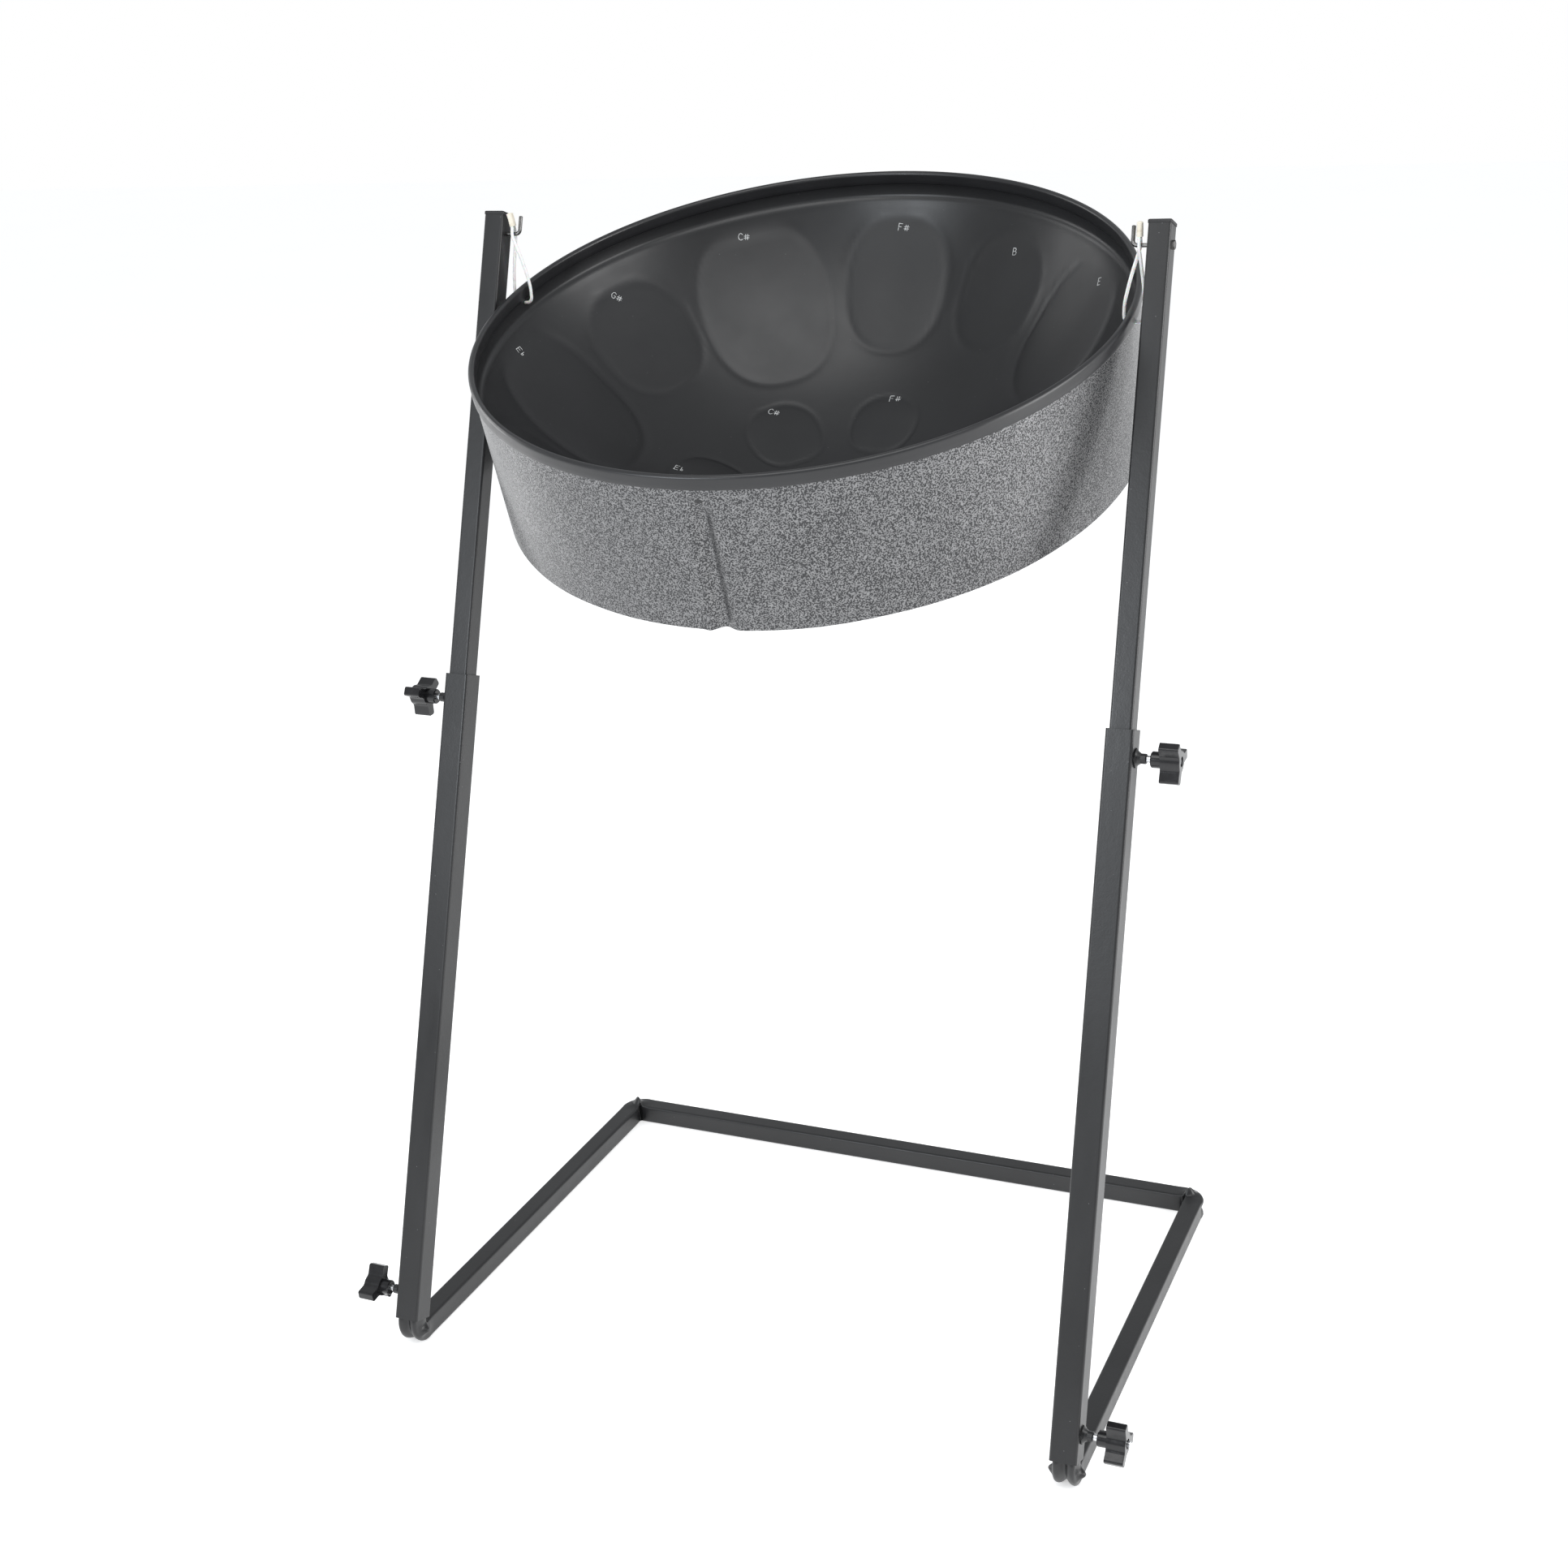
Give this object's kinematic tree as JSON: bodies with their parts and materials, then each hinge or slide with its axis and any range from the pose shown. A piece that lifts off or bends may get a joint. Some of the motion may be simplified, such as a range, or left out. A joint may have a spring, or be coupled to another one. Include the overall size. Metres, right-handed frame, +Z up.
{
  "type": "steelpan on floor stand",
  "caption": "Tenor steel drum with a concave note bowl, hung by two nylon loops between telescoping square-tube legs on a U-shaped floor base with screw clamps.",
  "frame": {"origin": "centre of the whole object's footprint box, on the floor", "axes": "+X to the player's right, +Y away from the player, +Z up"},
  "size_m": [0.7724, 0.6504, 1.0635],
  "materials": {
    "frame_paint": "satin black powder coat, fine orange peel",
    "cap_plastic": "moulded matte black",
    "knob_plastic": "glossy black moulding",
    "screw_zinc": "bright zinc plate",
    "hook_steel": "dark nickel",
    "nylon_line": "translucent white nylon",
    "sleeve_plastic": "cream crimped sleeve",
    "pan_black": "satin black lacquer",
    "skirt_hammertone": "grey hammertone lacquer"
  },
  "bodies": {
    "base": {"base_frame_tube": "frame_paint"},
    "left_lower_leg": {"left_lower_leg_tube": "frame_paint", "left_lower_clamp_nut": "frame_paint", "left_upper_clamp_nut": "frame_paint"},
    "left_upper_leg": {"left_upper_leg_tube": "frame_paint", "left_top_cap": "cap_plastic", "left_hook": "hook_steel", "left_hook_nut": "hook_steel"},
    "left_loop": {"left_loop_line": "nylon_line", "left_loop_sleeve": "sleeve_plastic"},
    "left_upper_clamp_screw": {"left_upper_clamp_screw": "screw_zinc"},
    "left_upper_clamp_knob": {"left_upper_clamp_knob": "knob_plastic"},
    "left_lower_clamp_screw": {"left_lower_clamp_screw": "screw_zinc"},
    "left_lower_clamp_knob": {"left_lower_clamp_knob": "knob_plastic"},
    "right_lower_leg": {"right_lower_leg_tube": "frame_paint", "right_lower_clamp_nut": "frame_paint", "right_upper_clamp_nut": "frame_paint"},
    "right_upper_leg": {"right_upper_leg_tube": "frame_paint", "right_top_cap": "cap_plastic", "right_hook": "hook_steel", "right_hook_nut": "hook_steel"},
    "right_loop": {"right_loop_line": "nylon_line", "right_loop_sleeve": "sleeve_plastic"},
    "right_upper_clamp_screw": {"right_upper_clamp_screw": "screw_zinc"},
    "right_upper_clamp_knob": {"right_upper_clamp_knob": "knob_plastic"},
    "right_lower_clamp_screw": {"right_lower_clamp_screw": "screw_zinc"},
    "right_lower_clamp_knob": {"right_lower_clamp_knob": "knob_plastic"},
    "pan": {"pan_rim": "pan_black", "pan_skirt": "skirt_hammertone", "pan_bowl": "pan_black"}
  },
  "joints": [
    {"name": "left_lower_leg_slide", "type": "slide", "parent": "base", "child": "left_lower_leg", "axis": [0.0083, 0.3156, 0.9488], "range_m": [0, 0.06]},
    {"name": "left_upper_leg_slide", "type": "slide", "parent": "left_lower_leg", "child": "left_upper_leg", "axis": [0.0083, 0.3156, 0.9488], "range_m": [-0.15, 0.09]},
    {"name": "left_loop_swing", "type": "hinge", "parent": "left_upper_leg", "child": "left_loop", "pos_m": [-0.30677, 0.02111, 1.03199], "axis": [0.9998, -0.007, -0.0211], "range_deg": [-20, 20]},
    {"name": "left_upper_clamp_screw_travel", "type": "slide", "parent": "left_lower_leg", "child": "left_upper_clamp_screw", "axis": [-1, 0, 0.0087], "range_m": [0, 0.002]},
    {"name": "left_upper_clamp_knob_turn", "type": "hinge", "parent": "left_upper_clamp_screw", "child": "left_upper_clamp_knob", "pos_m": [-0.34097, -0.12008, 0.60784], "axis": [-1, 0, 0.0087], "range_deg": [0, 720]},
    {"name": "left_lower_clamp_screw_travel", "type": "slide", "parent": "left_lower_leg", "child": "left_lower_clamp_screw", "axis": [-1, 0, 0.0087], "range_m": [0, 0.002]},
    {"name": "left_lower_clamp_knob_turn", "type": "hinge", "parent": "left_lower_clamp_screw", "child": "left_lower_clamp_knob", "pos_m": [-0.34582, -0.30505, 0.05182], "axis": [-1, 0, 0.0087], "range_deg": [0, 720]},
    {"name": "right_lower_leg_slide", "type": "slide", "parent": "base", "child": "right_lower_leg", "axis": [-0.0083, 0.3156, 0.9488], "range_m": [0, 0.06]},
    {"name": "right_upper_leg_slide", "type": "slide", "parent": "right_lower_leg", "child": "right_upper_leg", "axis": [-0.0083, 0.3156, 0.9488], "range_m": [-0.15, 0.09]},
    {"name": "right_loop_swing", "type": "hinge", "parent": "right_upper_leg", "child": "right_loop", "pos_m": [0.30451, 0.01682, 1.01909], "axis": [0.9998, -0.007, -0.0211], "range_deg": [-20, 20]},
    {"name": "right_upper_clamp_screw_travel", "type": "slide", "parent": "right_lower_leg", "child": "right_upper_clamp_screw", "axis": [1, 0, 0.0087], "range_m": [0, 0.002]},
    {"name": "right_upper_clamp_knob_turn", "type": "hinge", "parent": "right_upper_clamp_screw", "child": "right_upper_clamp_knob", "pos_m": [0.3386, -0.12008, 0.60784], "axis": [1, 0, 0.0087], "range_deg": [0, 720]},
    {"name": "right_lower_clamp_screw_travel", "type": "slide", "parent": "right_lower_leg", "child": "right_lower_clamp_screw", "axis": [1, 0, 0.0087], "range_m": [0, 0.002]},
    {"name": "right_lower_clamp_knob_turn", "type": "hinge", "parent": "right_lower_clamp_screw", "child": "right_lower_clamp_knob", "pos_m": [0.34345, -0.30505, 0.05182], "axis": [1, 0, 0.0087], "range_deg": [0, 720]},
    {"name": "pan_swing", "type": "hinge", "parent": "left_loop", "child": "pan", "pos_m": [-0.00113, 0.01897, 0.96114], "axis": [0.9998, -0.007, -0.0211], "range_deg": [-40, 30]}
  ],
  "couplings": [
    {"joint": "left_upper_clamp_knob_turn", "follows": "left_upper_clamp_screw_travel", "rad_per_m": 6283.2},
    {"joint": "left_lower_clamp_knob_turn", "follows": "left_lower_clamp_screw_travel", "rad_per_m": 6283.2},
    {"joint": "right_upper_clamp_knob_turn", "follows": "right_upper_clamp_screw_travel", "rad_per_m": 6283.2},
    {"joint": "right_lower_clamp_knob_turn", "follows": "right_lower_clamp_screw_travel", "rad_per_m": 6283.2},
    {"joint": "right_lower_leg_slide", "follows": "left_lower_leg_slide", "ratio": 1},
    {"joint": "right_upper_leg_slide", "follows": "left_upper_leg_slide", "ratio": 1},
    {"joint": "right_loop_swing", "follows": "left_loop_swing", "ratio": 1}
  ]
}
